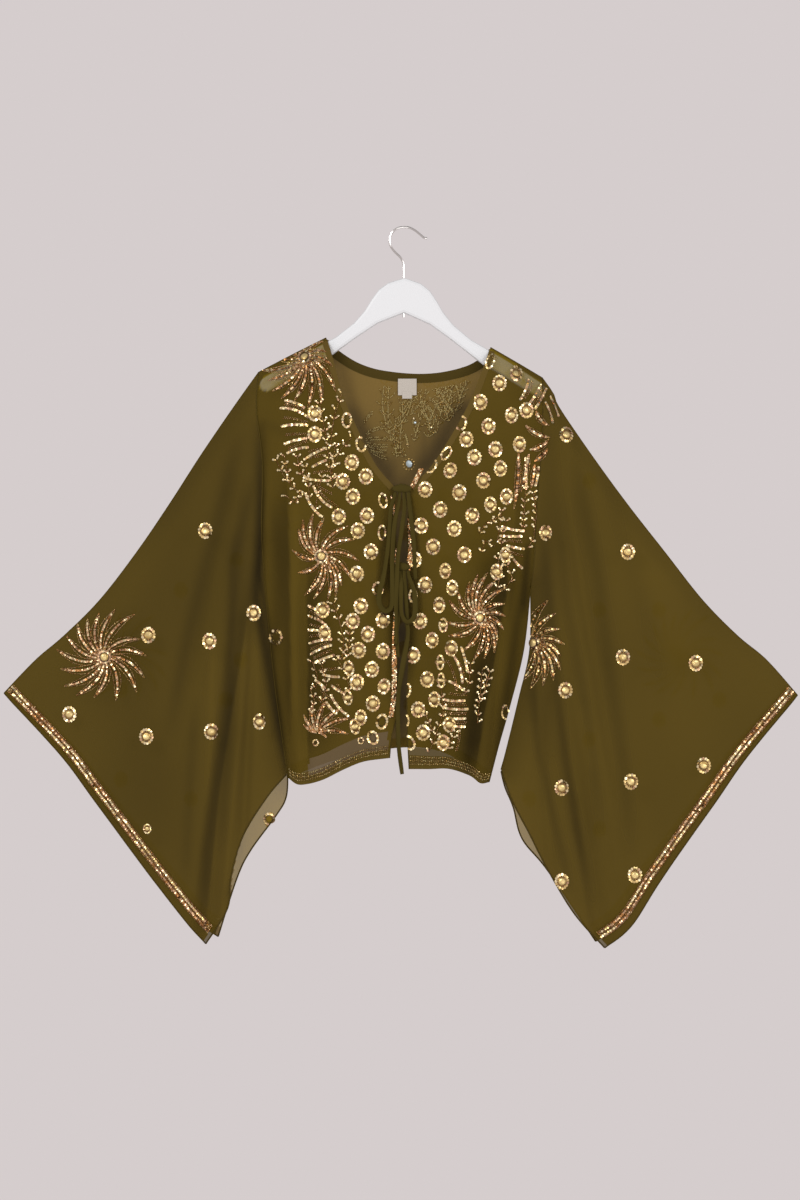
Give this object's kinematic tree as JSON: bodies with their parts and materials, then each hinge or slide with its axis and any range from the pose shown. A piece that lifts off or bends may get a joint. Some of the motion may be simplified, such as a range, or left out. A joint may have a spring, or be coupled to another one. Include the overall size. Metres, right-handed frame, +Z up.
{
  "type": "sari blouse on a hanger",
  "caption": "Loose sheer tie-front blouse with wide angel sleeves and sequin embroidery, hung on a white wooden hanger.",
  "frame": {"origin": "underside of the hook's top bend, where a rail bears", "axes": "+X to the viewer's right across the sleeves, +Y from the front to the back, +Z up"},
  "size_m": [1.1506, 0.0608, 1.0452],
  "materials": {
    "georgette": "sheer matt crepe with a soft sheen",
    "tie_cloth": "matt",
    "binding": "matt",
    "sequin_trim": "metallic gold sequins and copper beads",
    "label": "plain woven tape",
    "white_paint": "satin white paint",
    "hook_chrome": "polished"
  },
  "bodies": {
    "root": {"back": "georgette", "front_left": "georgette", "front_right": "georgette", "hem_back": "georgette", "hem_front_left": "georgette", "hem_front_right": "georgette", "sleeve_left_front": "georgette", "sleeve_left_back": "georgette", "sleeve_right_front": "georgette", "sleeve_right_back": "georgette", "tie_upper_loop": "tie_cloth", "tie_upper_end_left": "tie_cloth", "tie_upper_end_right": "tie_cloth", "tie_lower_loop": "tie_cloth", "tie_lower_end_left": "tie_cloth", "tie_lower_end_right": "tie_cloth", "knot_upper": "tie_cloth", "knot_lower": "tie_cloth", "neck_binding": "binding", "neckline_band_left": "binding", "neckline_band_right": "binding", "cuff_trim_left_front": "sequin_trim", "cuff_trim_left_back": "sequin_trim", "cuff_trim_right_front": "sequin_trim", "cuff_trim_right_back": "sequin_trim", "label": "label", "label_tab": "label", "hanger_wood": "white_paint", "hanger_hook": "hook_chrome"}
  },
  "joints": []
}
